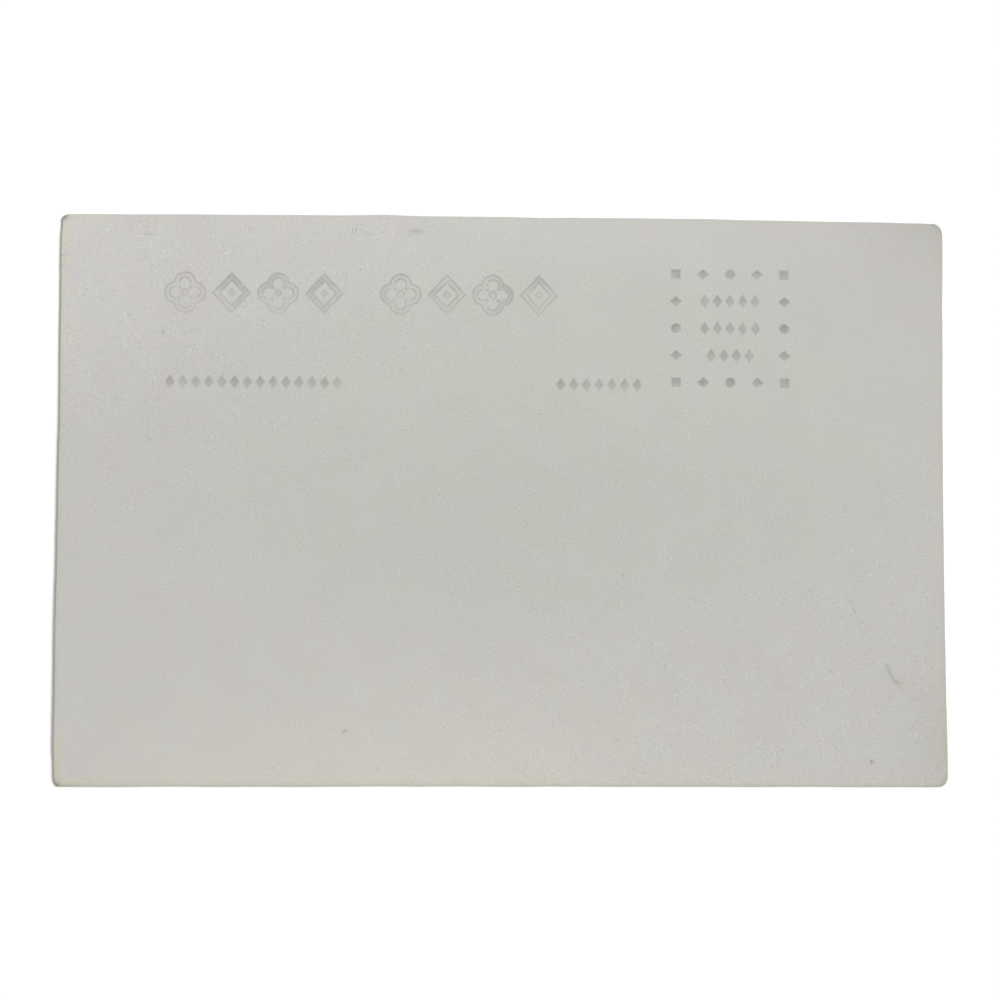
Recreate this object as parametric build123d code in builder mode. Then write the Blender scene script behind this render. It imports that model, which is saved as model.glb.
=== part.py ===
"""Photographic postcard: a coated paper sheet with a letterpress-printed back.

Millimetres. Origin at the middle of the picture side, which lies down. +X runs along the long
edge in reading direction, +Y towards the top edge and +Z out of the printed back.
"""

import os

from build123d import *

# Card sheet
CARD_WIDTH = 138.6
CARD_HEIGHT = 88.9
TOP_LEFT_CORNER_RADIUS = 1.3
TOP_RIGHT_CORNER_RADIUS = 1.9
BOTTOM_RIGHT_CORNER_RADIUS = 1.6
BOTTOM_LEFT_CORNER_RADIUS = 1.0
RIM_SOFTENING = 0.08

# Layers, from the picture side up
TOPCOAT_THICKNESS = 0.004
EMULSION_THICKNESS = 0.012
BARYTA_THICKNESS = 0.030
BASE_THICKNESS = 0.254

# Letterpress ink, pressed flush into the back of the sheet
INK_DEPTH = 0.015

# Heading: two rows of outlined ornaments, set from the top left corner
HEADING_LEFT_MARGIN = 16.4
HEADING_TOP_MARGIN = 9.2
HEADING_MARK_COUNT = 4
HEADING_MARK_SIZE = 6.5
HEADING_MARK_GAP = 0.72
HEADING_WORD_GAP = 5.4
HEADING_STROKE = 0.95
HEADING_CENTRE_MARK_SIZE = 1.3
QUATREFOIL_LOBE_RADIUS = 1.75
LOZENGE_FRAME_WIDTH = 6.0

# Small print: rows of lozenges as tall as small capitals
SMALL_MARK_WIDTH = 1.48
SMALL_MARK_HEIGHT = 2.1
SMALL_MARK_GAP = 0.52
CAPTION_TOP_MARGIN = 25.4
MESSAGE_MARK_COUNT = 14
ADDRESS_MARK_COUNT = 7
ADDRESS_TO_STAMP_GAP = 4.4

# Stamp place: a square of marks with three short rows of small marks inside, set from the top right corner
STAMP_RIGHT_MARGIN = 25.05
STAMP_TOP_MARGIN = 8.85
STAMP_FRAME_SIZE = 17.1
STAMP_MARKS_PER_SIDE = 5
STAMP_CORNER_SIZE = 1.45
STAMP_DOT_DIAMETER = 1.5
STAMP_LOZENGE_WIDTH = 1.9
STAMP_LOZENGE_HEIGHT = 1.6
STAMP_NOTE_ROW_COUNTS = (5, 5, 4)
STAMP_NOTE_ROW_GAP = 2.2

# Heights of the layer boundaries
emulsion_bottom = TOPCOAT_THICKNESS
baryta_bottom = emulsion_bottom + EMULSION_THICKNESS
base_bottom = baryta_bottom + BARYTA_THICKNESS
card_back = base_bottom + BASE_THICKNESS
ink_floor = card_back - INK_DEPTH

# Places of the print on the back
right_edge = CARD_WIDTH / 2
top_edge = CARD_HEIGHT / 2
heading_pitch = HEADING_MARK_SIZE + HEADING_MARK_GAP
heading_word_length = HEADING_MARK_COUNT * heading_pitch - HEADING_MARK_GAP
heading_left_x = -right_edge + HEADING_LEFT_MARGIN + heading_word_length / 2
heading_right_x = heading_left_x + heading_word_length + HEADING_WORD_GAP
heading_y = top_edge - HEADING_TOP_MARGIN - HEADING_MARK_SIZE / 2
stamp_x = right_edge - STAMP_RIGHT_MARGIN - STAMP_FRAME_SIZE / 2
stamp_y = top_edge - STAMP_TOP_MARGIN - STAMP_FRAME_SIZE / 2
stamp_left_side = stamp_x - (STAMP_FRAME_SIZE + STAMP_LOZENGE_WIDTH) / 2
small_pitch = SMALL_MARK_WIDTH + SMALL_MARK_GAP
address_length = ADDRESS_MARK_COUNT * small_pitch - SMALL_MARK_GAP
address_x = stamp_left_side - ADDRESS_TO_STAMP_GAP - address_length / 2
caption_y = top_edge - CAPTION_TOP_MARGIN - SMALL_MARK_HEIGHT / 2


def card_outline():
    """Rectangle with each corner rounded by its own wear."""
    corner_wear = {
        (-1, 1): TOP_LEFT_CORNER_RADIUS,
        (1, 1): TOP_RIGHT_CORNER_RADIUS,
        (1, -1): BOTTOM_RIGHT_CORNER_RADIUS,
        (-1, -1): BOTTOM_LEFT_CORNER_RADIUS,
    }
    with BuildSketch() as outline:
        Rectangle(CARD_WIDTH, CARD_HEIGHT)
        for (side_x, side_y), radius in corner_wear.items():
            sharp_corner = (side_x * CARD_WIDTH / 2, side_y * CARD_HEIGHT / 2, 0)
            corner = outline.vertices().sort_by_distance(sharp_corner)[0]
            fillet(corner, radius=radius)
    return outline.sketch


def lozenge(width, height):
    """Solid upright lozenge about the origin."""
    with BuildSketch() as mark:
        Polygon((width / 2, 0), (0, height / 2), (-width / 2, 0), (0, -height / 2))
    return mark.sketch


def quatrefoil(lobe_radius, lobe_distance):
    """Four round lobes about the origin, joined by the square through their centres."""
    with BuildSketch() as mark:
        with PolarLocations(lobe_distance, 4):
            Circle(lobe_radius)
        add(lozenge(2 * lobe_distance, 2 * lobe_distance))
    return mark.sketch


def quatrefoil_frame():
    """Outlined quatrefoil with a dot at its centre."""
    lobe_distance = HEADING_MARK_SIZE / 2 - QUATREFOIL_LOBE_RADIUS
    with BuildSketch() as mark:
        add(quatrefoil(QUATREFOIL_LOBE_RADIUS, lobe_distance))
        add(quatrefoil(QUATREFOIL_LOBE_RADIUS - HEADING_STROKE, lobe_distance), mode=Mode.SUBTRACT)
        Circle(HEADING_CENTRE_MARK_SIZE / 2)
    return mark.sketch


def lozenge_frame():
    """Outlined lozenge with a small lozenge at its centre."""
    with BuildSketch() as mark:
        add(lozenge(LOZENGE_FRAME_WIDTH, HEADING_MARK_SIZE))
        offset(amount=-HEADING_STROKE, kind=Kind.INTERSECTION, mode=Mode.SUBTRACT)
        add(lozenge(HEADING_CENTRE_MARK_SIZE, HEADING_CENTRE_MARK_SIZE))
    return mark.sketch


def heading_word(centre_x, ornaments):
    """One half of the heading: the two ornaments in turn along a row."""
    first_x = centre_x - heading_pitch * (HEADING_MARK_COUNT - 1) / 2
    with BuildSketch() as word:
        for index in range(HEADING_MARK_COUNT):
            with Locations((first_x + index * heading_pitch, heading_y)):
                add(ornaments[index % len(ornaments)])
    return word.sketch


def small_row(centre_x, centre_y, count):
    """Row of small lozenges."""
    with BuildSketch() as row:
        with Locations((centre_x, centre_y)):
            with GridLocations(small_pitch, 1, count, 1):
                add(lozenge(SMALL_MARK_WIDTH, SMALL_MARK_HEIGHT))
    return row.sketch


def round_dot(diameter):
    """Solid dot about the origin."""
    with BuildSketch() as mark:
        Circle(diameter / 2)
    return mark.sketch


def stamp_frame():
    """Square of marks: a small square at each corner, with lozenges and dots in turn between them."""
    mark_pitch = STAMP_FRAME_SIZE / (STAMP_MARKS_PER_SIDE - 1)
    side = STAMP_FRAME_SIZE / 2
    marks = (lozenge(STAMP_LOZENGE_WIDTH, STAMP_LOZENGE_HEIGHT), round_dot(STAMP_DOT_DIAMETER))
    with BuildSketch() as frame:
        with Locations((stamp_x, stamp_y)):
            with GridLocations(STAMP_FRAME_SIZE, STAMP_FRAME_SIZE, 2, 2):
                Rectangle(STAMP_CORNER_SIZE, STAMP_CORNER_SIZE)
            for index in range(STAMP_MARKS_PER_SIDE - 2):
                along = (index + 1) * mark_pitch - side
                with Locations((along, side), (along, -side), (-side, along), (side, along)):
                    add(marks[index % len(marks)])
    return frame.sketch


def stamp_note():
    """Short rows of small marks, stacked about the middle of the stamp place."""
    row_pitch = SMALL_MARK_HEIGHT + STAMP_NOTE_ROW_GAP
    first_row_y = stamp_y + row_pitch * (len(STAMP_NOTE_ROW_COUNTS) - 1) / 2
    with BuildSketch() as note:
        for index, count in enumerate(STAMP_NOTE_ROW_COUNTS):
            add(small_row(stamp_x, first_row_y - index * row_pitch, count))
    return note.sketch


def finish(node_name, piece):
    """Label a finished piece and write it out."""
    piece.label = node_name
    export_step(piece, f"parts/{node_name}.step")


os.makedirs("parts", exist_ok=True)
outline = card_outline()
ornaments = (quatrefoil_frame(), lozenge_frame())
prints = {
    "heading_print_left": heading_word(heading_left_x, ornaments),
    "heading_print_right": heading_word(heading_right_x, ornaments),
    "message_caption_print": small_row(heading_left_x, caption_y, MESSAGE_MARK_COUNT),
    "address_caption_print": small_row(address_x, caption_y, ADDRESS_MARK_COUNT),
    "stamp_frame_print": stamp_frame(),
    "stamp_note_print": stamp_note(),
}

# Clear gelatin over the image
with BuildPart() as gelatin_topcoat:
    with BuildSketch():
        add(outline)
    extrude(amount=TOPCOAT_THICKNESS)
finish("gelatin_topcoat", gelatin_topcoat.part)

# Gelatin layer that holds the silver image
with BuildPart() as image_emulsion:
    with BuildSketch(Plane.XY.offset(emulsion_bottom)):
        add(outline)
    extrude(amount=EMULSION_THICKNESS)
finish("image_emulsion", image_emulsion.part)

# White pigment coat under the image
with BuildPart() as baryta_coat:
    with BuildSketch(Plane.XY.offset(baryta_bottom)):
        add(outline)
    extrude(amount=BARYTA_THICKNESS)
finish("baryta_coat", baryta_coat.part)

# Paper sheet with a softened back rim and a shallow bed for each print
with BuildPart() as card_base:
    with BuildSketch(Plane.XY.offset(base_bottom)):
        add(outline)
    extrude(amount=BASE_THICKNESS)
    back_rim = card_base.faces().sort_by(Axis.Z)[-1].outer_wire().edges()
    fillet(back_rim, radius=min(RIM_SOFTENING, BASE_THICKNESS / 2))
    with BuildSketch(Plane.XY.offset(ink_floor)):
        for print_outline in prints.values():
            add(print_outline)
    extrude(amount=INK_DEPTH, mode=Mode.SUBTRACT)
finish("card_base", card_base.part)

# Ink of each print
for print_name, print_outline in prints.items():
    with BuildPart() as ink:
        with BuildSketch(Plane.XY.offset(ink_floor)):
            add(print_outline)
        extrude(amount=INK_DEPTH)
    finish(print_name, ink.part)
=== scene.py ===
"""Looks of a photographic postcard: a worn paper sheet with a letterpress back and a picture side.

Points are worked out in millimetres, in the frame of the solids, and become metres when a mesh is made.
"""

import math

import bmesh
import bpy
import numpy as np
from mathutils import Matrix, Vector, noise


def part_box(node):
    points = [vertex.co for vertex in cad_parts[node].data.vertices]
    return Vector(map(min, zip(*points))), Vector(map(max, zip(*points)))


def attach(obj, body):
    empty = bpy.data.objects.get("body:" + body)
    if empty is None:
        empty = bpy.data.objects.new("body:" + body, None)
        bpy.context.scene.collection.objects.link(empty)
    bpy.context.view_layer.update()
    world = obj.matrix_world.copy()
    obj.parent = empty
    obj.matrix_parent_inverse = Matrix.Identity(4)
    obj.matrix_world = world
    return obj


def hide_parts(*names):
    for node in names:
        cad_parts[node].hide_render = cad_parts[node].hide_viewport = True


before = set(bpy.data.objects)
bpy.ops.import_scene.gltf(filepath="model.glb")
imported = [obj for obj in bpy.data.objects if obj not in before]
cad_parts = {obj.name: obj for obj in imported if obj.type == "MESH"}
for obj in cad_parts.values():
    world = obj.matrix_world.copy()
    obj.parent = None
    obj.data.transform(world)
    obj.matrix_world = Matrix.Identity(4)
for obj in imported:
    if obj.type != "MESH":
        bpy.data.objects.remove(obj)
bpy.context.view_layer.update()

MM = 0.001


def tone(red, green, blue):
    """Linear colour of a display colour with levels from 0 to 255, by the sRGB curve."""
    levels = np.array((red, green, blue)) / 255
    return (*np.where(levels <= 0.04045, levels / 12.92, ((levels + 0.055) / 1.055) ** 2.4).tolist(), 1.0)


# Half sizes and levels of the card, read from the solids
base_low, base_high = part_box("card_base")
half_width = base_high.x / MM
half_height = base_high.y / MM
back_level = base_high.z / MM
base_level = base_low.z / MM
baryta_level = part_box("baryta_coat")[0].z / MM
picture_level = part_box("gelatin_topcoat")[0].z / MM

# Worn corners, anticlockwise from the lower left: sides in x and y, radii along x and y
CORNERS = (
    (-1, -1, 0.8, 1.4),
    (1, -1, 1.35, 1.85),
    (1, 1, 1.45, 1.9),
    (-1, 1, 1.15, 0.9),
)
# How far each trimmed edge lies inside the plain rectangle, at its start, middle and end along x or y
LEFT_TRIM = (0.53, 0.51, 0.32)
RIGHT_TRIM = (-0.36, 0.0, -0.3)
TOP_TRIM = (0.3, 0.02, 0.38)
BOTTOM_TRIM = (-0.07, 0.03, -0.07)
# The left edge is worn back further towards each of its ends: depth, where that starts and where it is full
LEFT_FOOT_STEP = (0.1, 6.0, 3.0)
LEFT_HEAD_STEP = (0.08, 4.0, 1.5)
# Waves of the left and upper edges: place along the edge, how far they stand out, half width
LEFT_WAVES = ((14.0, -0.08, 6.0), (-17.0, 0.07, 7.0))
TOP_WAVES = ((-19.0, 0.14, 4.5), (6.0, -0.1, 3.5), (31.0, 0.08, 8.0))
# Uneven cut: slow wander of all the layers together, and coarse and fine fibres that stand out of each
WANDER = 0.06
WANDER_SIZE = 9.0
WANDER_SEED = 6.3
EDGE_FIBRE = 0.022
EDGE_FIBRE_SIZE = 1.3
EDGE_FIBRE_REACH = 0.4
FINE_FIBRE_SHARE = 0.6
FINE_FIBRE_SIZE = 0.37
FINE_FIBRE_SEED = 5.3
CARD_SEED = 1.5
COAT_SEED = 2.5
# Softened rim of the back, rounder at the corners, and the rough cut below it
RIM = 0.08
CORNER_RIM = 0.09
CORNER_REACH = 2.5
WALL_ROUGHNESS = 0.012
WALL_GRAIN = 0.3
WALL_SEED = 9.1

# Mesh of a sheet: a graded grid inside a margin, rings from there to the outline, and rings down the edge
MARGIN = 2.4
CORNER_STEPS = 8
WIDEST_STEP = 1.2
STEP_GROWTH = 0.25
END_STEP = 0.2
END_REACH = 1.0
BACK_RINGS = (1.7, 1.15, 0.75, 0.48, 0.3, 0.18, 0.11, 0.06, 0.025, 0.008, 0.0)
PLAIN_RINGS = (0.9, 0.3, 0.05, 0.0)
WALL_SHARES = (0.25, 0.5, 0.75, 1.0)
SHARP_ANGLE = 50
# Where the card's grid is fine enough for the marks in its back: start, end, step
MARK_COLUMNS = ((59.4, 63.4, 0.1), (53.5, 58.0, 0.2))
MARK_ROWS = ((-30.2, -25.0, 0.1), (-22.6, -14.5, 0.2))

# Gentle unevenness of the whole sheet, with its raised lower left corner pressed down again at the tip
TWIST = 0.075
COCKLES = ((28.0, 0.012), (11.0, 0.005))
COCKLE_SEED = 3.7
TIP_DROOP = 0.1
TIP_REACH = 6.0

# Marks in the back, as curves with a start, a bend and an end
CURVE_POINTS = 40
CREASE = ((60.4, -25.8), (61.1, -27.4), (62.3, -28.3))
CREASE_HEIGHT = 0.03
CREASE_WIDTH = 0.3
# Lines along the crease and the scratch: rubbed lines along the scratch, painted shade beside the crease's
# ridge, painted highlights on and beside it, and darker patches at its ends: curve, half width, darkness
SCUFFS_AND_CREASE_SHADING = {
    "painted shade left of the ridge": (((59.85, -25.2), (60.5, -27.85), (62.6, -29.55)), 0.26, 0.17),
    "painted shade right of the ridge": (((60.7, -26.2), (61.6, -27.5), (62.9, -27.8)), 0.16, 0.13),
    "painted highlight beside it": (((61.35, -26.6), (61.75, -27.25), (62.55, -27.4)), 0.13, -0.12),
    "painted highlight on the ridge": (((60.65, -26.8), (61.2, -27.25), (61.75, -27.7)), 0.13, -0.07),
    "darker head": (((60.0, -25.2), (60.4, -25.8), (60.8, -26.6)), 0.4, 0.06),
    "darker foot": (((61.3, -27.8), (61.9, -28.25), (62.8, -28.35)), 0.36, 0.1),
    "scratch": (((53.7, -14.6), (55.1, -16.9), (56.3, -20.6)), 0.16, 0.06),
}
# Dots of the faint broken scratch
SCRATCH = (
    (53.85, -14.85),
    (54.55, -15.65),
    (55.0, -17.15),
    (56.1, -19.05),
    (56.2, -20.35),
    (57.6, -22.35),
    (56.25, -24.7),
)
SCRATCH_DEPTH = 0.004
SCRATCH_RADIUS = 0.22
SCRATCH_DARKNESS = 0.09

# Dirt at the corners: sides in x and y, how dark, and how far it reaches
CORNER_GRIME = (
    ((-1, 1), 0.85, 1.05),
    ((-1, -1), 0.4, 1.15),
    ((1, -1), 0.22, 1.5),
    ((1, 1), 0.25, 1.6),
)
CORNER_GRIME_POWER = 4
# Dirt and painted shade along the left, right, lower and upper edges, how far in they reach, and more dirt
# at the left end of the lower edge
EDGE_GRIME_AND_SHADE = (0.04, 0.08, 0.2, 0.04)
EDGE_GRIME_AND_SHADE_DEPTH = 0.42
LOWER_EDGE = 2
FOOT_GRIME = 0.22
FOOT_GRIME_END = -65.5
FOOT_GRIME_FADE = 1.5
# Yellowed band inside the left, right, lower and upper edges: number of the axis that the edge runs along,
# least strength, and each rise of the strength with the places where it starts and is full
EDGE_YELLOW = (
    (1, 0.15, ((0.25, 10, 30), (0.7, 34, 43), (1.0, -34, -41))),
    (1, 0.2, ((0.4, -22, -38),)),
    (0, 0.25, ((0.2, 45, -5), (0.4, -58, -67))),
    (0, 0.12, ((0.25, -50, -66),)),
)
YELLOW_START = 0.5
YELLOW_END = 1.7

# Ink of the prints: a film that bleeds a little past its outline, with a heavier squeezed rim.
# The pressure differs from mark to mark, in places the ink fills the rim, and upper edges are heavier
INK_RISE = 0.006
INK_RISE_START = -0.02
INK_SINK = 0.008
INK_WAVER = 0.045
INK_WAVER_SIZE = 0.55
INK_PRESSURE = 0.2
INK_PRESSURE_SIZE = 5.0
INK_PRESSURE_SEED = 0.7
INK_FILL = 0.55
INK_FILL_SIZE = 4.0
INK_FILL_SEED = 2.9
INK_FILL_RANGE = (0.1, 0.6)
INK_SLUR = 0.28
INK_SEED = 0.5
SQUEEZE_WIDTH = 0.27
SQUEEZE_FADE = 0.13
# Outlined strokes and filled dots: bleed, feathered width, ink inside the squeezed rim, and points of the
# mesh round a mark and from its inner border or middle to its outer border
STROKE_BLEED = 0.16
STROKE_FEATHER = 0.3
STROKE_BODY = 0.15
STROKE_STEPS = 144
STROKE_STATIONS = (0.0, 0.04, 0.1, 0.18, 0.27, 0.38, 0.5, 0.62, 0.73, 0.82, 0.9, 0.96, 1.0)
DOT_BLEED = 0.21
DOT_FEATHER = 0.42
DOT_BODY = 0.85
DOT_STEPS = 40
DOT_STATIONS = (0.3, 0.5, 0.66, 0.78, 0.87, 0.94, 1.0)
# Reading a mark's outline from its solid: corners welded within so many metres, least rise of a flat top's
# normal, and how far past a side's ends a ray still meets it
WELD = 1e-7
TOP_NORMAL = 0.9
SIDE_SLACK = 1e-6

# In the looks below, an uneven layer is a noise: its scale, detail and roughness, the part of its range
# that is used, and the values that this part gives
NOISE_MIDDLE = 0.5
WHITE = (1.0, 1.0, 1.0, 1.0)

# Paper: tones of soft patches, lighter towards the upper left and the foot and darker towards the right,
# with their middles and half lengths
PAPER = tone(195, 193, 189)
TONE_PATCHES = {
    "light head": ((-16, 66), (124, 58), tone(208, 206, 202)),
    "light upper left": ((-74, 34), (40, 28), tone(204, 202, 198)),
    "light upper left tip": ((-73, 47), (17, 13), tone(211, 209, 204)),
    "greenish middle": ((10, 16), (70, 34), tone(195, 197, 189)),
    "dull middle": ((6, -2), (76, 24), tone(190, 192, 185)),
    "warm foot": ((-14, -58), (90, 42), tone(205, 202, 193)),
    "dull upper right": ((78, 54), (34, 26), tone(181, 178, 171)),
    "dull lower right": ((82, -38), (26, 34), tone(182, 180, 173)),
}
CLOUDS = dict(scale=0.11, detail=3.0, roughness=0.55, used=(0.25, 0.75), gives=(0.988, 1.012))
# Colour casts of the slow mottling: noise scale, and the two casts that it goes between
CASTS = {
    "pink and green": (0.22, (1.005, 0.998, 0.999, 1.0), (0.996, 1.001, 0.999, 1.0)),
    "blue and yellow": (0.18, (0.998, 0.999, 1.008, 1.0), (1.002, 1.001, 0.988, 1.0)),
}
CAST_RANGE = (0.35, 0.65)
# Grain of sparse light and dark specks, stronger in some places than in others
GRAIN = dict(scale=4.6, detail=2.0, roughness=0.65)
GRAIN_POWER = 1.5
GRAIN_DEPTH = dict(scale=0.3, used=(0.35, 0.65), gives=(5.3, 13.4))
# Fibres in the sheet, and flecks in the middles of some cells of a pattern, with a radius in cell widths
FIBRES = dict(scale=1.0, used=(0.6, 0.75), gives=(1.0, 0.97))
FIBRE_SIZES = (2.0, 0.31)
FIBRE_TURN = 14
FLECK_SCALE = 0.16
FLECK_CHOICE = (1.0, 1.2)
FLECK_RADIUS = 0.045
FLECK_CORE = 0.3
FLECK_LIGHT = 0.94
# Tooth of the surface and marks of the felt that it was pressed on
TOOTH = dict(scale=3.4, detail=3.0, roughness=0.6)
FELT = dict(scale=0.9)
FELT_SIZES = (1.43, 0.67)
TOOTH_DEPTH = 0.0022
# Small marks: middle, half lengths, turn in degrees, darkness
SPECKS = (
    ((-24.2, -36.0), (0.7, 0.5), 20, 0.2),
    ((-35.2, -41.7), (0.5, 0.35), 0, 0.12),
    ((-19.2, -41.7), (0.35, 0.4), 0, 0.13),
    ((-54.9, 8.9), (0.5, 0.45), 0, 0.12),
    ((-22.4, 35.8), (0.4, 0.4), 0, 0.13),
    ((18.0, -37.2), (0.55, 0.45), 0, 0.1),
    ((18.8, -11.8), (0.5, 0.8), 0, 0.07),
    ((29.8, -15.5), (1.3, 0.35), -35, 0.07),
    ((44.2, -14.4), (0.6, 0.35), -30, 0.08),
    ((57.55, -40.55), (0.45, 0.5), 0, 0.3),
    ((58.0, -40.8), (0.3, 0.3), 0, 0.14),
    ((-52.95, 25.75), (0.5, 0.55), 0, 0.17),
    ((-55.75, 41.15), (0.85, 0.36), 4, 0.13),
    ((-55.0, 41.1), (0.95, 0.36), 0, 0.13),
    ((-14.4, 41.9), (1.3, 0.9), 2, 0.11),
    ((-13.3, 41.95), (1.3, 0.85), 2, 0.11),
    ((-13.65, 42.2), (0.25, 0.25), 0, 0.08),
    ((-13.0, 42.2), (0.25, 0.25), 0, 0.08),
    ((-23.7, 42.0), (0.26, 0.95), 0, 0.12),
    ((-23.1, 42.2), (0.26, 0.8), -5, 0.17),
    ((-22.3, 42.15), (0.5, 0.25), -50, 0.13),
    ((-21.0, 41.5), (1.2, 0.22), 0, 0.08),
    ((68.0, 43.8), (0.5, 0.3), 0, 0.16),
)
SPECK_FULL = 0.8
# What a scuff or the painted crease shade takes from red, green and blue, as shares of its darkness
SCUFF_AND_SHADE_TINT = (1.0, 0.93, 1.25)
YELLOW_STAIN = (1.0, 0.997, 0.85, 1.0)
STAINING = dict(scale=0.5, detail=3.0, roughness=0.6, used=(0.3, 0.65), gives=(0.35, 1.1))
# Colour of the dirt and of the painted shade along the rim, and how patchy they are
GRIME_AND_SHADE_TONE = tone(122, 121, 112)
GRIME_AND_SHADE_PATCHES = dict(scale=2.4, detail=3.0, used=(0.25, 0.7), gives=(0.6, 1.0))
PAPER_ROUGHNESS = dict(scale=0.8, detail=3.0, used=(0.2, 0.8), gives=(0.78, 0.92))
PAPER_SPECULAR = 0.25

# Ink: what full ink leaves of the paper's light, and of that in blue, and how the ink is worn
HEADING_LIGHT = 0.69
CAPTION_LIGHT = 0.65
STAMP_LIGHT = 0.57
INK_BLUE = 0.995
FINE_WEAR = dict(scale=2.6, detail=3.0, roughness=0.6, used=(0.2, 0.65), gives=(0.6, 1.0))
BROAD_WEAR = dict(scale=0.42, used=(0.3, 0.62), gives=(0.72, 1.05))
INK_ROUGHNESS = dict(scale=1.7, used=(0.2, 0.8), gives=(0.62, 0.8))
INK_SPECULAR = 0.3

# White pigment coat, stained within a rim
BARYTA = tone(236, 232, 221)
BARYTA_EDGE = tone(216, 208, 188)
BARYTA_RIM = 0.5
BARYTA_STAINING = dict(scale=1.6, detail=3.0, used=(0.3, 0.7), gives=(0.3, 0.9))
CHALK = dict(scale=5.0)
CHALK_RANGE = (0.2, 0.8)
CHALK_ROUGHNESS = (0.7, 0.9)
CHALK_DEPTH = 0.001

# Picture side: a plain view over water to hills, inside a white border
BORDER = 3.2
BORDER_BLUR = 0.06
BORDER_TONE = tone(226, 221, 208)
BORDER_YELLOWING = dict(scale=0.12, detail=3.0, used=(0.3, 0.7), gives=(0.96, 1.02))
HORIZON = -4.0
PICTURE_TOP = 41.0
SKY = (0.86, 0.5)
SKY_CLOUDS = dict(scale=1.0, detail=5.0, roughness=0.55, used=(0.42, 0.75), gives=(0.0, 0.3))
SKY_CLOUD_SIZES = (55.0, 18.0)
SKY_CLOUD_TURN = 6
# Hill lines from far to near: level, height, width of a hill, brightness
HILLS = (
    (8.0, 26.0, 58.0, 0.34),
    (2.5, 15.0, 34.0, 0.21),
    (-1.0, 8.0, 17.0, 0.10),
)
HILL_LINE = dict(detail=6.0, roughness=0.5)
HILL_MIDDLE = 0.35
HILL_SPREAD = 17.0
HILL_BLUR = 0.15
WOODS = dict(scale=0.55, detail=4.0, roughness=0.65, used=(0.25, 0.75))
WOOD_CONTRAST = 0.35
WATER = 0.46
WATER_DEPTH = (0.45, 1.0)
RIPPLES = dict(scale=1.0, detail=4.0, roughness=0.6, used=(0.3, 0.7))
RIPPLE_SIZES = (20.0, 1.25)
RIPPLE_CONTRAST = 0.3
SHORE_BLUR = 0.1
BANK_LEVEL = -30.0
BANK_HEIGHT = 12.0
BANK_LINE = dict(scale=0.03, detail=6.0, roughness=0.6)
BANK_BLUR = 0.2
GRASS = dict(scale=1.0, detail=4.0, roughness=0.7, used=(0.3, 0.75), gives=(0.02, 0.2))
GRASS_SIZES = (0.62, 2.0)
# Silver image in gelatin
SILVER_DARK = tone(28, 26, 23)
SILVER_LIGHT = tone(224, 217, 201)
SILVER_GRAIN = dict(scale=9.0, roughness=0.6, used=(0.25, 0.75), gives=(0.9, 1.1))
PICTURE_ROUGHNESS = dict(scale=0.35, detail=4.0, roughness=0.6, used=(0.25, 0.75), gives=(0.24, 0.42))
PICTURE_SPECULAR = 0.5
GELATIN_WAVES = dict(scale=0.6, detail=3.0)
GELATIN_DEPTH = 0.004
COAT_WEIGHT = 0.6
COAT_ROUGHNESS = 0.12

# Floor, in metres, just under the card
FLOOR_SIZE = 6.0
FLOOR_DROP = 0.00001
FLOOR_ALBEDO = 0.88
FLOOR_GLOW = 0.15
FLOOR_GLOW_COLOUR = (1.0, 0.98, 0.87, 1.0)
# Key light with its angles in degrees, and fill light
KEY_STRENGTH = 3.72
KEY_SOFTNESS = 24.0
KEY_AZIMUTH = 11.0
KEY_ELEVATION = 37.0
FILL = 0.28
# Camera: place and lens in millimetres, and directions
CAMERA_PLACE = (-8.767, -14.550, 264.677)
CAMERA_AXIS = (0.03154, 0.05437, -0.99802)
CAMERA_UP = (-0.005834, 0.998512, 0.054217)
CAMERA_LENS = 61.2
CAMERA_SENSOR = 36.0


def smooth(value, start, full):
    """Smooth step from 0 at the start to 1 where it is full, which may be the lower of the two."""
    share = np.clip((value - start) / (full - start), 0.0, 1.0)
    return share * share * (3.0 - 2.0 * share)


def fading(gap, reach, power=2):
    """1 where there is no gap, fading to 0 past a reach; a higher power stays near 1 for longer."""
    return np.exp(-((gap / reach) ** power))


def waver(points, size, seed):
    """Smooth random values between -1 and 1 at points of the plane, with bumps of one size."""
    return np.array([noise.noise(Vector((x / size, y / size, seed))) for x, y in points])


# Surface of the card


def card_lift(points):
    """How far the uneven sheet stands off a flat table."""
    across = points[:, 0] / half_width
    up = points[:, 1] / half_height
    lift = TWIST * (1.0 + across * up)
    for number, (size, height) in enumerate(COCKLES):
        lift += height * (1.0 + waver(points, size, COCKLE_SEED + number))
    to_tip = np.hypot(points[:, 0] + half_width, points[:, 1] + half_height)
    return lift - TIP_DROOP * fading(to_tip, TIP_REACH)


def curve_points(start, bend, end):
    """Points along a curve with one bend."""
    share = np.linspace(0.0, 1.0, CURVE_POINTS)[:, None]
    first = np.array(start) + (np.array(bend) - start) * share
    second = np.array(bend) + (np.array(end) - bend) * share
    return first + (second - first) * share


def line_mark(points, curve, width):
    """Strength of a line along a curve, from 0 to 1, fading to its sides and its ends."""
    gaps = np.linalg.norm(points[:, None, :] - curve_points(*curve)[None, :, :], axis=2)
    place = gaps.argmin(axis=1) / (CURVE_POINTS - 1)
    return fading(gaps.min(axis=1), width) * np.sqrt(np.sin(math.pi * place))


def scratch_dots(points):
    """Strength of the broken scratch, from 0 to 1."""
    gaps = np.linalg.norm(points[:, None, :] - np.array(SCRATCH)[None, :, :], axis=2)
    return fading(gaps.min(axis=1), SCRATCH_RADIUS)


def back_relief(points):
    """Height of the marks in the back."""
    return CREASE_HEIGHT * line_mark(points, CREASE, CREASE_WIDTH) - SCRATCH_DEPTH * scratch_dots(points)


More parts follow.
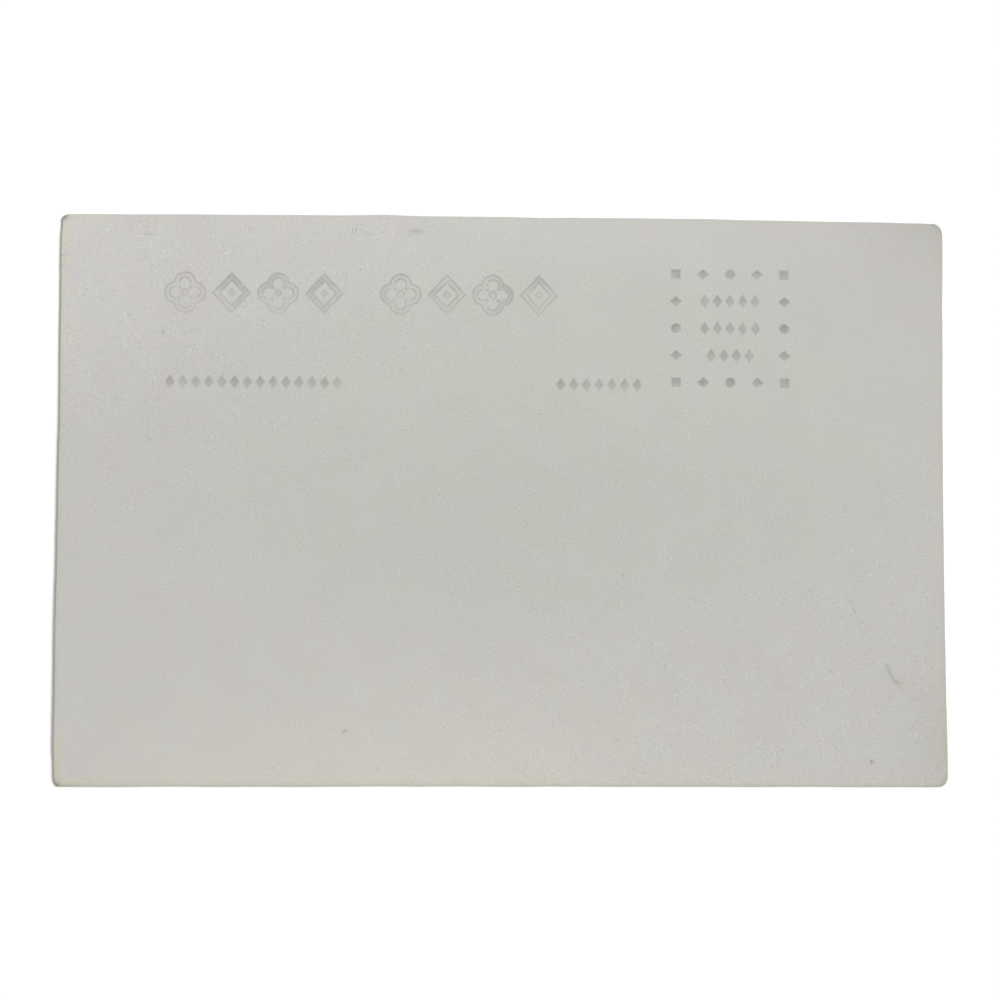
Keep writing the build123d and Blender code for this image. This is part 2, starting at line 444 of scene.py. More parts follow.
def back_surface(points):
    """Height of the card's back."""
    return back_level + card_lift(points) + back_relief(points)


# Wear of the card's back


def scuffs_and_crease_shading(points):
    """Darkness of the rubbed lines and of the painted crease shade in the back, below 0 at painted
    highlights.
    """
    dark = SCRATCH_DARKNESS * scratch_dots(points)
    for curve, width, darkness in SCUFFS_AND_CREASE_SHADING.values():
        dark = dark + darkness * line_mark(points, curve, width)
    return dark


def nearest_edge(points):
    """Number of the nearest edge of the plain rectangle: left, right, lower or upper."""
    x, y = points[:, 0], points[:, 1]
    return np.argmin((half_width + x, half_width - x, half_height + y, half_height - y), axis=0)


def grime_and_rim_shade(points, inset):
    """Dirt rubbed into the corners, and dirt with painted shade along the rim, from 0 to 1."""
    nearest = nearest_edge(points)
    # Dirt and painted shade along the rim
    rim = fading(inset, EDGE_GRIME_AND_SHADE_DEPTH)
    dirt_and_shade = np.array(EDGE_GRIME_AND_SHADE)[nearest] * rim
    for (side_x, side_y), darkness, reach in CORNER_GRIME:
        gap = np.hypot(points[:, 0] - side_x * half_width, points[:, 1] - side_y * half_height)
        dirt_and_shade = dirt_and_shade + darkness * fading(gap, reach, CORNER_GRIME_POWER)
    ends = (FOOT_GRIME_END + FOOT_GRIME_FADE, FOOT_GRIME_END - FOOT_GRIME_FADE)
    left_foot = (nearest == LOWER_EDGE) * smooth(points[:, 0], *ends)
    return np.clip(dirt_and_shade + FOOT_GRIME * left_foot * rim, 0.0, 1.0)


def yellowing(points, inset):
    """Strength of the yellowed band inside the rim, greatest at the left corners and along the foot."""
    strengths = []
    for axis, least, rises in EDGE_YELLOW:
        along = points[:, axis]
        strengths.append(least + sum(rise * smooth(along, start, full) for rise, start, full in rises))
    return np.choose(nearest_edge(points), strengths) * smooth(inset, YELLOW_END, YELLOW_START)


# Outline of the card


def bowed(trim, along):
    """Trim of a bowed edge at places from -1 to 1 along it."""
    start, middle, end = trim
    return middle + (end - start) / 2 * along + ((start + end) / 2 - middle) * along**2


def waves(bumps, along):
    """How far a row of soft bumps stands out at places along an edge."""
    return sum(height * fading(along - place, width) for place, height, width in bumps)


def trimmed(points):
    """Points of the plain rectangle moved to where the real edges run."""
    across = points[:, 0] / half_width
    up = points[:, 1] / half_height
    left = bowed(LEFT_TRIM, up)
    for side, (depth, start, full) in ((-1, LEFT_FOOT_STEP), (1, LEFT_HEAD_STEP)):
        left = left + depth * smooth(side * points[:, 1], half_height - start, half_height - full)
    left = left - waves(LEFT_WAVES, points[:, 1])
    top = bowed(TOP_TRIM, across) - waves(TOP_WAVES, points[:, 0])
    sideways = np.where(across < 0, left, bowed(RIGHT_TRIM, up))
    upright = np.where(up < 0, bowed(BOTTOM_TRIM, across), top)
    return points - np.c_[across * sideways, up * upright]


def corner_nearness(points):
    """1 at the sharp corners of the rectangle, fading to 0 away from them."""
    gaps = np.hypot(half_width - np.abs(points[:, 0]), half_height - np.abs(points[:, 1]))
    return fading(gaps, CORNER_REACH)


def corner_point(corner, angle):
    """Point of a worn corner's arc."""
    side_x, side_y, radius_x, radius_y = CORNERS[corner % len(CORNERS)]
    centre = np.array((side_x * (half_width - radius_x), side_y * (half_height - radius_y)))
    return centre + (radius_x * math.cos(angle), radius_y * math.sin(angle))


def outline_loop(columns, rows):
    """Outline points outside the grid's border points, and their outward directions, anticlockwise.

    Each side, the lower one first, runs from the middle of one corner's arc to the middle of the next.
    """
    places, outward = [], []
    for side, along in enumerate((columns, rows, columns, rows)):
        last = len(along) - 1
        first_turn = math.radians(225 + 90 * side)
        straight_turn = math.radians(270 + 90 * side)
        last_turn = math.radians(315 + 90 * side)
        run = along if side < 2 else -along[::-1]
        span = run[last - CORNER_STEPS] - run[CORNER_STEPS]
        start = corner_point(side, straight_turn)
        end = corner_point(side + 1, straight_turn)
        for step in range(last):
            turn = straight_turn
            if step < CORNER_STEPS:
                turn = first_turn + (straight_turn - first_turn) * step / CORNER_STEPS
                place = corner_point(side, turn)
            elif step > last - CORNER_STEPS:
                turn = last_turn - (last_turn - straight_turn) * (last - step) / CORNER_STEPS
                place = corner_point(side + 1, turn)
            else:
                place = start + (end - start) * (run[step] - run[CORNER_STEPS]) / span
            places.append(place)
            outward.append((math.cos(turn), math.sin(turn)))
    return np.array(places), np.array(outward)


# Sheets


def graded(low, high, zones):
    """Places from low to high that lie close together in each zone (start, end, step)."""
    places = [low]
    while places[-1] < high:
        here = places[-1]
        steps = [step + STEP_GROWTH * max(start - here, here - end, 0.0) for start, end, step in zones]
        places.append(here + min(WIDEST_STEP, *steps))
    return low + (np.array(places) - low) * (high - low) / (places[-1] - low)


def grid_lines(half_size, zones=()):
    """Grid lines of a sheet in one direction, closer at both ends."""
    end = half_size - MARGIN
    ends = ((-end, -end + END_REACH, END_STEP), (end - END_REACH, end, END_STEP))
    return graded(-end, end, (*ends, *zones))


def loop_faces(loops):
    """Quads between each closed loop of points and the next one."""
    bands = []
    for near, far in zip(loops, loops[1:]):
        bands.append(np.stack((near, far, np.roll(far, -1), np.roll(near, -1)), axis=1))
    return np.concatenate(bands).tolist()


def make_piece(name, points, faces, values):
    """Smooth-shaded object from millimetre points, with one value per point for each named attribute."""
    mesh = bpy.data.meshes.new(name)
    mesh.from_pydata((points * MM).tolist(), [], faces)
    for value_name, numbers in values.items():
        attribute = mesh.attributes.new(value_name, "FLOAT", "POINT")
        attribute.data.foreach_set("value", np.asarray(numbers, np.float32))
    mesh.shade_smooth()
    mesh.set_sharp_from_angle(angle=math.radians(SHARP_ANGLE))
    mesh.validate()
    piece = bpy.data.objects.new(name, mesh)
    bpy.context.scene.collection.objects.link(piece)
    return piece


class SheetPlan:
    """Plan of a sheet: a graded grid, and rings from the grid's border out to the worn outline."""

    def __init__(self, columns, rows, seed):
        self.seed = seed
        self.grid = np.array([(x, y) for x in columns for y in rows])
        index = np.arange(len(self.grid)).reshape(len(columns), len(rows))
        self.index = index
        self.border = np.concatenate((index[:-1, 0], index[-1, :-1], index[:0:-1, -1], index[0, :0:-1]))
        self.outline, self.outward = outline_loop(columns, rows)
        coarse = waver(self.outline, EDGE_FIBRE_SIZE, seed)
        fine = waver(self.outline, FINE_FIBRE_SIZE, seed + FINE_FIBRE_SEED)
        wander = waver(self.outline, WANDER_SIZE, WANDER_SEED)
        self.ragged = EDGE_FIBRE * (coarse + FINE_FIBRE_SHARE * fine) + WANDER * wander

    def ring(self, inset):
        """Loop of points at a distance inside the outline, ragged close to it."""
        start = self.grid[self.border]
        straight = start + (self.outline - start) * (1 - inset / MARGIN)
        return straight + self.outward * (self.ragged * max(0.0, 1 - inset / EDGE_FIBRE_REACH))[:, None]

    def insets(self):
        """Distance of each grid point from the nearest edge."""
        return np.minimum(half_width - np.abs(self.grid[:, 0]), half_height - np.abs(self.grid[:, 1]))

    def faces(self, layers):
        """Quads of a closed sheet, whose first layer is its upper grid and whose last is its lower grid."""
        first = np.cumsum([0, *(len(points) for points, _, _ in layers)])
        index = self.index
        corners = (index[:-1, :-1], index[1:, :-1], index[1:, 1:], index[:-1, 1:])
        upper = np.stack(corners, axis=-1).reshape(-1, len(corners))
        under = first[-2]
        loops = [np.arange(start, end) for start, end in zip(first[1:-2], first[2:-1])]
        sides = loop_faces([self.border, *loops, self.border + under])
        return upper.tolist() + (upper[:, ::-1] + under).tolist() + sides


def upper_layers(plan, level, worn_back):
    """Layers of a sheet's upper side, from its grid to its outline, as points, heights and insets."""
    rim = (RIM + CORNER_RIM * corner_nearness(plan.outline)) * worn_back

    def surface(points):
        return level + card_lift(points) + (back_relief(points) if worn_back else 0.0)

    layers = [(plan.grid, surface(plan.grid), plan.insets())]
    for inset in BACK_RINGS if worn_back else PLAIN_RINGS:
        points = plan.ring(inset)
        rise = np.sqrt(np.maximum(rim**2 - np.maximum(rim - inset, 0.0) ** 2, 0.0))
        layers.append((points, surface(points) - (rim - rise), np.full(len(points), inset)))
    return layers


def wall_layers(plan, edge, level, worn_back):
    """Layers down a sheet's cut, from the edge of its upper side to a level, rough under a worn back."""
    edge_points, edge_top, inset = edge
    edge_bottom = level + card_lift(edge_points)
    layers = []
    for share in WALL_SHARES:
        grain = waver(plan.outline, WALL_GRAIN, plan.seed + WALL_SEED + share)
        rough = WALL_ROUGHNESS * grain * worn_back
        points = edge_points + plan.outward * rough[:, None]
        layers.append((points, edge_top + (edge_bottom - edge_top) * share, inset))
    return layers


def lower_layers(plan, level):
    """Layers of a sheet's lower side, from near its outline to its grid."""
    layers = []
    for inset in PLAIN_RINGS[-2::-1]:
        points = plan.ring(inset)
        layers.append((points, level + card_lift(points), np.full(len(points), inset)))
    return [*layers, (plan.grid, level + card_lift(plan.grid), plan.insets())]


def sheet(name, plan, low, high, worn_back=False):
    """Closed sheet between two levels, with the worn outline; a worn back has marks and a softened rim."""
    layers = upper_layers(plan, high, worn_back)
    layers += wall_layers(plan, layers[-1], low, worn_back)
    layers += lower_layers(plan, low)
    points, heights, insets = (np.concatenate(parts) for parts in zip(*layers))
    values = {"inset": insets}
    if worn_back:
        # Dirt at the corners, and dirt and painted shade along the rim
        values["grime_and_rim_shade"] = grime_and_rim_shade(points, insets)
        values["yellowing"] = yellowing(points, insets)
        # Scuffs, with painted shade and painted highlights along the crease
        values["scuffs_and_crease_shading"] = scuffs_and_crease_shading(points)
    return make_piece(name, np.c_[trimmed(points), heights], plan.faces(layers), values)


# Prints


def border_loops(island):
    """Closed loops of points round a flat group of faces, the widest first."""
    beside = {}
    for face in island:
        for edge in face.edges:
            if sum(other in island for other in edge.link_faces) == 1:
                first, second = edge.verts
                beside.setdefault(first, []).append(second)
                beside.setdefault(second, []).append(first)
    loops = []
    while beside:
        here = next(iter(beside))
        loop = []
        while here in beside:
            loop.append((here.co.x / MM, here.co.y / MM))
            here = next((other for other in beside.pop(here) if other in beside), None)
        loops.append(np.array(loop))
    return sorted(loops, key=lambda loop: -np.ptp(loop[:, 0]))


def mark_outlines(node_name):
    """Loops of millimetre points round each mark of a print, read from the flat tops of its solids."""
    work = bmesh.new()
    work.from_mesh(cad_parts[node_name].data)
    bmesh.ops.remove_doubles(work, verts=work.verts, dist=WELD)
    tops = dict.fromkeys(face for face in work.faces if face.normal.z > TOP_NORMAL)
    marks = []
    while tops:
        island = {}
        waiting = [next(iter(tops))]
        while waiting:
            face = waiting.pop()
            if face in tops:
                island[face] = tops.pop(face)
                waiting += [other for edge in face.edges for other in edge.link_faces]
        marks.append(border_loops(island))
    work.free()
    return sorted(marks, key=lambda loops: (round(loops[0][:, 1].mean(), 2), loops[0][:, 0].mean()))


def reach_of(loop, centre, angles):
    """Distance from a centre to a loop in each direction."""
    start = loop - centre
    side = np.roll(start, -1, axis=0) - start
    ray_x, ray_y = np.cos(angles)[:, None], np.sin(angles)[:, None]
    with np.errstate(divide="ignore", invalid="ignore"):
        turn = ray_x * side[:, 1] - ray_y * side[:, 0]
        reach = (start[:, 0] * side[:, 1] - start[:, 1] * side[:, 0]) / turn
        share = (start[:, 0] * ray_y - start[:, 1] * ray_x) / turn
    met = (reach > 0) & (share > -SIDE_SLACK) & (share < 1 + SIDE_SLACK)
    return np.where(met, reach, 0.0).max(axis=1)


class Mark:
    """One printed mark: its reach from a centre to its borders in each direction, and the ink on it.

    A hollow mark is an outlined stroke with an inner border. A filled one is a dot with a middle point.
    """

    def __init__(self, outlines, body, seed):
        self.body = body
        self.seed = seed
        self.hollow = len(outlines) > 1
        self.feather = STROKE_FEATHER if self.hollow else DOT_FEATHER
        self.stations = STROKE_STATIONS if self.hollow else DOT_STATIONS
        self.centre = (outlines[0].min(axis=0) + outlines[0].max(axis=0)) / 2
        self.height = np.ptp(outlines[0][:, 1])
        steps = STROKE_STEPS if self.hollow else DOT_STEPS
        angles = np.arange(steps) * 2 * math.pi / steps
        self.rays = np.c_[np.cos(angles), np.sin(angles)]
        bleed = STROKE_BLEED if self.hollow else DOT_BLEED
        self.outer = reach_of(outlines[0], self.centre, angles) + bleed
        self.inner = reach_of(outlines[1], self.centre, angles) - bleed if self.hollow else np.zeros(steps)
        press = waver(self.centre[None, :], INK_PRESSURE_SIZE, seed + INK_PRESSURE_SEED)[0]
        self.pressure = 1.0 + INK_PRESSURE * press

    def ring(self, share):
        """Loop of points at a share of the way to the outer border, ragged close to the borders."""
        reach = self.inner + (self.outer - self.inner) * share
        plan = self.centre + self.rays * reach[:, None]
        raggedness = abs(2 * share - 1) if self.hollow else share
        ragged = INK_WAVER * waver(plan, INK_WAVER_SIZE, self.seed) * raggedness
        return self.centre + self.rays * (reach + ragged)[:, None]

    def inked(self, plan, share):
        """Height of the film and ink laid down on a ring: feathered, and heaviest in the squeezed rim."""
        border = (self.outer - self.inner) * (min(share, 1 - share) if self.hollow else 1 - share)
        filled = smooth(waver(plan, INK_FILL_SIZE, self.seed + INK_FILL_SEED), *INK_FILL_RANGE)
        body = self.body + (1 - self.body) * INK_FILL * filled
        squeeze = fading(np.maximum(border - SQUEEZE_WIDTH, 0.0), SQUEEZE_FADE)
        laid = smooth(border, 0.0, self.feather) * (body + (1 - body) * squeeze)
        slur = 1.0 + INK_SLUR * (plan[:, 1] - self.centre[1]) / self.height * 2
        return INK_RISE * smooth(border, INK_RISE_START, self.feather), self.pressure * slur * laid

    def film(self):
        """Rings of a closed film over the top and then below, as points, heights and shares of ink."""
        tops = [self.ring(share) for share in self.stations]
        rings = [(plan, *self.inked(plan, share)) for plan, share in zip(tops, self.stations)]
        below = [tops[-1], tops[0]] if self.hollow else [tops[-1]]
        rings += [(plan, np.full(len(plan), -INK_SINK), np.zeros(len(plan))) for plan in below]
        if self.hollow:
            return rings
        middle = self.centre[None, :]
        top = (middle, np.array([INK_RISE]), np.array([self.pressure * self.body]))
        bottom = (middle, np.array([-INK_SINK]), np.zeros(1))
        return [top, *rings, bottom]

    def faces(self, loops):
        """Faces of the film over the loops of its point numbers."""
        if self.hollow:
            return loop_faces(loops + loops[:1])
        top = fan_faces(loops[0][0], loops[1])
        bottom = fan_faces(loops[-1][0], loops[-2][::-1])
        return loop_faces(loops[1:-1]) + top + bottom


def fan_faces(middle, loop):
    """Triangles from a middle point to a closed loop."""
    return [(middle, near, far) for near, far in zip(loop.tolist(), np.roll(loop, -1).tolist())]


def ink_piece(name, node_name, body, seed):
    """Ink of one print: each mark a thin closed film on the card, with a squeezed rim and ragged edges."""
    points, faces, shares = [], [], []
    count = 0
    for outlines in mark_outlines(node_name):
        mark = Mark(outlines, body, seed)
        loops = []
        for plan, rise, share in mark.film():
            loops.append(np.arange(count, count + len(plan)))
            points.append(np.c_[plan, back_surface(plan) + rise])
            shares.append(share)
            count += len(plan)
        faces += mark.faces(loops)
    return make_piece(name, np.concatenate(points), faces, {"ink_share": np.concatenate(shares)})


# Materials


class Shade:
    """One material's nodes, with short calls for the kinds used here. Places are in millimetres."""

    def __init__(self, name):
        self.material = bpy.data.materials.new(name)
        self.material.use_nodes = True
        self.tree = self.material.node_tree
        self.surface = self.tree.nodes["Principled BSDF"]
        coordinates = self.add("ShaderNodeTexCoord").outputs["Object"]
        self.place = self.vector("MULTIPLY", coordinates, (1 / MM, 1 / MM, 1 / MM))
        self.plan = self.vector("MULTIPLY", self.place, (1.0, 1.0, 0.0))

    def feed(self, socket, value):
        """Link an input to another node's output, or set its value."""
        if isinstance(value, bpy.types.NodeSocket):
            self.tree.links.new(value, socket)
        else:
            socket.default_value = value

    def add(self, kind, inputs=(), **options):
        """New node with its options set, and its inputs fed by name or number."""
        made = self.tree.nodes.new(kind)
        for option, value in options.items():
            setattr(made, option, value)
        for key, value in dict(inputs).items():
            self.feed(made.inputs[key], value)
        return made

    def finish(self, **inputs):
        """The material, with the surface's inputs fed; their names have underscores for spaces."""
        for key, value in inputs.items():
            self.feed(self.surface.inputs[key.replace("_", " ")], value)
        return self.material

    def math(self, operation, *values):
        """Result of an operation on numbers."""
        return self.add("ShaderNodeMath", enumerate(values), operation=operation).outputs[0]

    def vector(self, operation, *values):
        """Result of an operation on vectors or colours."""
        made = self.add("ShaderNodeVectorMath", enumerate(values), operation=operation)
        return made.outputs["Value" if operation == "LENGTH" else "Vector"]

    def scaled(self, colour, share):
        """Colour with all its parts multiplied by a share."""
        return self.add("ShaderNodeVectorMath", {0: colour, 3: share}, operation="SCALE").outputs["Vector"]

    def mix(self, share, first, second, blend="MIX"):
        """One colour giving way to another, or multiplied by it."""
        inputs = {0: share, 6: first, 7: second}
        return self.add("ShaderNodeMix", inputs, data_type="RGBA", blend_type=blend).outputs[2]

    def blend(self, share, first, second):
        """One number giving way to another."""
        return self.add("ShaderNodeMix", {0: share, 2: first, 3: second}).outputs[0]

    def remap(self, value, low, high, to_low=0.0, to_high=1.0):
        """Smooth step between two numbers as a value goes from low to high."""
        inputs = {"Value": value, "From Min": low, "From Max": high, "To Min": to_low, "To Max": to_high}
        return self.add("ShaderNodeMapRange", inputs, interpolation_type="SMOOTHSTEP").outputs["Result"]

    def noise(self, place, scale, detail=2.0, roughness=0.5):
        """Noise at a place, from 0 to 1."""
        inputs = {"Vector": place, "Scale": scale, "Detail": detail, "Roughness": roughness}
        return self.add("ShaderNodeTexNoise", inputs).outputs[0]

    def varied(self, scale, used, gives=(0.0, 1.0), place=None, **shape):
        """Noise with the used part of its range spread over the values that it gives."""
        spots = self.noise(self.place if place is None else place, scale, **shape)
        return self.remap(spots, *used, *gives)

    def stretched(self, place, sizes, degrees=0.0, centre=(0.0, 0.0)):
        """Places measured in the sizes of a frame that is turned about its centre."""
        turn = (0.0, 0.0, math.radians(degrees))
        inputs = {"Vector": place, "Location": (*centre, 0.0), "Rotation": turn, "Scale": (*sizes, 1.0)}
        return self.add("ShaderNodeMapping", inputs, vector_type="TEXTURE").outputs["Vector"]

    def patch(self, centre, radii, degrees=0.0):
        """Soft elliptical patch of the card: 1 in its middle, 0 at its rim and beyond."""
        turned = self.stretched(self.plan, radii, degrees, centre)
        return self.remap(self.vector("LENGTH", turned), 0.0, 1.0, 1.0, 0.0)

    def attribute(self, name):
        """Value that the mesh holds at each point."""
        return self.add("ShaderNodeAttribute", attribute_name=name).outputs["Fac"]

    def bump(self, height, depth):
        """Normal of a surface with fine relief of a depth."""
        return self.add("ShaderNodeBump", {"Height": height, "Distance": depth * MM}).outputs["Normal"]


def paper_grain(shade):
    """Light of the sparse grain, about 1."""
    grain = shade.math("SUBTRACT", shade.noise(shade.place, **GRAIN), NOISE_MIDDLE)
    sharp = shade.math("POWER", shade.math("ABSOLUTE", grain), GRAIN_POWER)
    sparse = shade.math("MULTIPLY", grain, sharp)
    return shade.math("MULTIPLY_ADD", sparse, shade.varied(**GRAIN_DEPTH), 1.0)


def paper_flecks(shade):
    """Light of the scattered dark flecks, from 1 down."""
    cells = shade.add("ShaderNodeTexVoronoi", {"Vector": shade.place, "Scale": FLECK_SCALE})
    chosen = shade.remap(shade.vector("LENGTH", cells.outputs["Color"]), *FLECK_CHOICE)
    fleck = shade.remap(cells.outputs["Distance"], FLECK_RADIUS, FLECK_RADIUS * FLECK_CORE)
    return shade.remap(shade.math("MULTIPLY", chosen, fleck), 0.0, 1.0, 1.0, FLECK_LIGHT)


def paper_colour(shade):
    """Colour of the aged paper: soft lighter and darker patches, mottling, grain, fibres and flecks."""
    colour = PAPER
    for centre, radii, patch_tone in TONE_PATCHES.values():
        colour = shade.mix(shade.patch(centre, radii), colour, patch_tone)
    colour = shade.scaled(colour, shade.varied(**CLOUDS))
    for scale, first, second in CASTS.values():
        cast = shade.mix(shade.varied(scale, CAST_RANGE), first, second)
        colour = shade.mix(1.0, colour, cast, "MULTIPLY")
    colour = shade.scaled(colour, paper_grain(shade))
    along_fibres = shade.stretched(shade.place, FIBRE_SIZES, FIBRE_TURN)
    colour = shade.scaled(colour, shade.varied(**FIBRES, place=along_fibres))
    return shade.scaled(colour, paper_flecks(shade))


def paper_bump(shade):
    """Fine tooth of the uncoated paper."""
    tooth = shade.noise(shade.place, **TOOTH)
    felt = shade.noise(shade.stretched(shade.place, FELT_SIZES, FIBRE_TURN), **FELT)
    return shade.bump(shade.math("ADD", tooth, felt), TOOTH_DEPTH)


def paper_material():
    """Uncoated paper with specks, scuffs and painted crease shade and highlights, yellowed along its rim,
    and darkened by dirt at its corners and by dirt and painted shade along its rim.
    """
    shade = Shade("aged_paper")
    colour = paper_colour(shade)
    for centre, radii, degrees, darkness in SPECKS:
        spot = shade.patch(centre, radii, degrees)
        colour = shade.scaled(colour, shade.remap(spot, 0.0, SPECK_FULL, 1.0, 1.0 - darkness))
    # Rubbed lines, and painted shade and painted highlights along the crease, a little tinted
    taken = tuple(-share for share in SCUFF_AND_SHADE_TINT)
    kept = shade.vector("MULTIPLY_ADD", shade.attribute("scuffs_and_crease_shading"), taken, WHITE[:3])
    colour = shade.vector("MULTIPLY", colour, kept)
    yellow = shade.math("MULTIPLY", shade.attribute("yellowing"), shade.varied(**STAINING))
    colour = shade.mix(1.0, colour, shade.mix(yellow, WHITE, YELLOW_STAIN), "MULTIPLY")
    # Dirt at the corners, and dirt and painted shade along the rim, in patches
    dirt_and_shade = shade.math("MULTIPLY", shade.attribute("grime_and_rim_shade"), shade.varied(**GRIME_AND_SHADE_PATCHES))
    return shade.finish(
        Base_Color=shade.mix(dirt_and_shade, colour, GRIME_AND_SHADE_TONE),
        Roughness=shade.varied(**PAPER_ROUGHNESS),
        Normal=paper_bump(shade),
        Specular_IOR_Level=PAPER_SPECULAR,
    )


def ink_material(name, light):
    """Faded letterpress ink that lets the paper's tone through; full ink leaves this much of its light."""
    shade = Shade(name)
    wear = shade.math("MULTIPLY", shade.varied(**FINE_WEAR), shade.varied(**BROAD_WEAR))
    share = shade.math("MULTIPLY", shade.attribute("ink_share"), wear)
    film = shade.mix(share, WHITE, (light, light, light * INK_BLUE, 1.0))
    return shade.finish(
        Base_Color=shade.mix(1.0, paper_colour(shade), film, "MULTIPLY"),
        Roughness=shade.varied(**INK_ROUGHNESS),
        Normal=paper_bump(shade),
        Specular_IOR_Level=INK_SPECULAR,
    )


def baryta_material():
    """White pigment coat, a little stained where its edge shows."""
    shade = Shade("baryta_white")
    rim = shade.remap(shade.attribute("inset"), BARYTA_RIM, 0.0)
    stained = shade.math("MULTIPLY", rim, shade.varied(**BARYTA_STAINING))
    chalk = shade.noise(shade.place, **CHALK)
    return shade.finish(
        Base_Color=shade.mix(stained, BARYTA, BARYTA_EDGE),
        Roughness=shade.remap(chalk, *CHALK_RANGE, *CHALK_ROUGHNESS),
        Normal=shade.bump(chalk, CHALK_DEPTH),
    )


def contrasted(brightness, contrast):
    """Lowest and highest brightness about a middle one."""
    return brightness * (1 - contrast), brightness * (1 + contrast)


def uneven_line(shade, across, row, middle, height, level, **shape):
    """Level of an uneven line across the picture: one row of a noise, about its middle, made this high."""
    along = shade.add("ShaderNodeCombineXYZ", {"X": across, "Y": row}).outputs[0]
    above = shade.math("SUBTRACT", shade.noise(along, **shape), middle)
    return shade.math("MULTIPLY_ADD", above, height, level)


def covered(shade, picture, line, up, blur, brightness):
    """The picture with what lies below a line given another brightness."""
    below = shade.remap(shade.math("SUBTRACT", line, up), -blur, blur)
    return shade.blend(below, picture, brightness)


def sky(shade, up):
    """Brightness of a sky that darkens upwards, with long clouds."""
    clouds = shade.varied(**SKY_CLOUDS, place=shade.stretched(shade.plan, SKY_CLOUD_SIZES, SKY_CLOUD_TURN))
    return shade.math("ADD", shade.remap(up, HORIZON, PICTURE_TOP, *SKY), clouds)


def water(shade, up):
    """Brightness of rippled water that is darkest at the horizon."""
    glints = contrasted(WATER, RIPPLE_CONTRAST)
    ripples = shade.varied(**RIPPLES, gives=glints, place=shade.stretched(shade.plan, RIPPLE_SIZES))
    return shade.math("MULTIPLY", ripples, shade.remap(up, HORIZON, BANK_LEVEL, *WATER_DEPTH))


def silver_picture(shade):
    """Brightness of the picture: sky, hills from far to near, water and a bank."""
    split = shade.add("ShaderNodeSeparateXYZ", {0: shade.plan})
    across, up = split.outputs["X"], split.outputs["Y"]
    picture = sky(shade, up)
    for level, height, width, brightness in HILLS:
        row = HILL_SPREAD * level
        line = uneven_line(shade, across, row, HILL_MIDDLE, height, level, scale=1 / width, **HILL_LINE)
        woods = shade.varied(**WOODS, gives=contrasted(brightness, WOOD_CONTRAST), place=shade.plan)
        picture = covered(shade, picture, line, up, HILL_BLUR, woods)
    picture = covered(shade, picture, HORIZON, up, SHORE_BLUR, water(shade, up))
    bank_top = uneven_line(shade, across, 0.0, NOISE_MIDDLE, BANK_HEIGHT, BANK_LEVEL, **BANK_LINE)
    grass = shade.varied(**GRASS, place=shade.stretched(shade.plan, GRASS_SIZES))
    return covered(shade, picture, bank_top, up, BANK_BLUR, grass)


def picture_material():
    """Silver image in gelatin under a thin clear gloss coat, with a plain border."""
    shade = Shade("silver_print")
    grain = shade.varied(**SILVER_GRAIN, place=shade.plan)
    colour = shade.mix(shade.math("MULTIPLY", silver_picture(shade), grain), SILVER_DARK, SILVER_LIGHT)
    picture_half = (half_width - BORDER, half_height - BORDER, 0.0)
    beyond = shade.vector("SUBTRACT", shade.vector("ABSOLUTE", shade.plan), picture_half)
    split = shade.add("ShaderNodeSeparateXYZ", {0: beyond})
    outside = shade.math("MAXIMUM", split.outputs["X"], split.outputs["Y"])
    border = shade.scaled(BORDER_TONE[:3], shade.varied(**BORDER_YELLOWING))
    return shade.finish(
        Base_Color=shade.mix(shade.remap(outside, -BORDER_BLUR, BORDER_BLUR), colour, border),
        Roughness=shade.varied(**PICTURE_ROUGHNESS),
        Normal=shade.bump(shade.noise(shade.place, **GELATIN_WAVES), GELATIN_DEPTH),
        Specular_IOR_Level=PICTURE_SPECULAR,
        Coat_Weight=COAT_WEIGHT,
        Coat_Roughness=COAT_ROUGHNESS,
    )


# Floor, light and camera


def seen_directly(tree):
    """1 for rays that come from the camera, from a reflection or through glass, and 0 for light."""
    rays = tree.nodes.new("ShaderNodeLightPath")
    seen = rays.outputs["Is Camera Ray"]
    for kind in ("Is Glossy Ray", "Is Transmission Ray"):
        either = tree.nodes.new("ShaderNodeMath")
        either.operation = "MAXIMUM"
        tree.links.new(seen, either.inputs[0])
        tree.links.new(rays.outputs[kind], either.inputs[1])
        seen = either.outputs[0]
    return seen


def floor_material():
    """Matt white that looks bright where it is seen and keeps the card's shadow."""
    shade = Shade("floor_white")
    return shade.finish(
        Base_Color=(FLOOR_ALBEDO, FLOOR_ALBEDO, FLOOR_ALBEDO, 1.0),
        Roughness=1.0,
        Specular_IOR_Level=0.0,
        Emission_Color=FLOOR_GLOW_COLOUR,
        Emission_Strength=shade.math("MULTIPLY", seen_directly(shade.tree), FLOOR_GLOW),
    )


def make_floor():
    """Pale plane under the card."""
    half = FLOOR_SIZE / 2
    mesh = bpy.data.meshes.new("floor")
    corners = [(-half, -half, 0.0), (half, -half, 0.0), (half, half, 0.0), (-half, half, 0.0)]
    mesh.from_pydata(corners, [], [(0, 1, 2, 3)])
    mesh.materials.append(floor_material())
    floor = bpy.data.objects.new("floor", mesh)
    floor.location.z = -FLOOR_DROP
    bpy.context.scene.collection.objects.link(floor)


def make_world():
    """Even fill light, seen as white by the camera and in reflections."""
    world = bpy.data.worlds.new("studio")
    world.use_nodes = True
    bpy.context.scene.world = world
    tree = world.node_tree
    background = tree.nodes["Background"]
    background.inputs["Color"].default_value = WHITE
    strength = tree.nodes.new("ShaderNodeMapRange")
    strength.inputs["To Min"].default_value = FILL
    strength.inputs["To Max"].default_value = 1.0
    tree.links.new(seen_directly(tree), strength.inputs["Value"])
    tree.links.new(strength.outputs["Result"], background.inputs["Strength"])


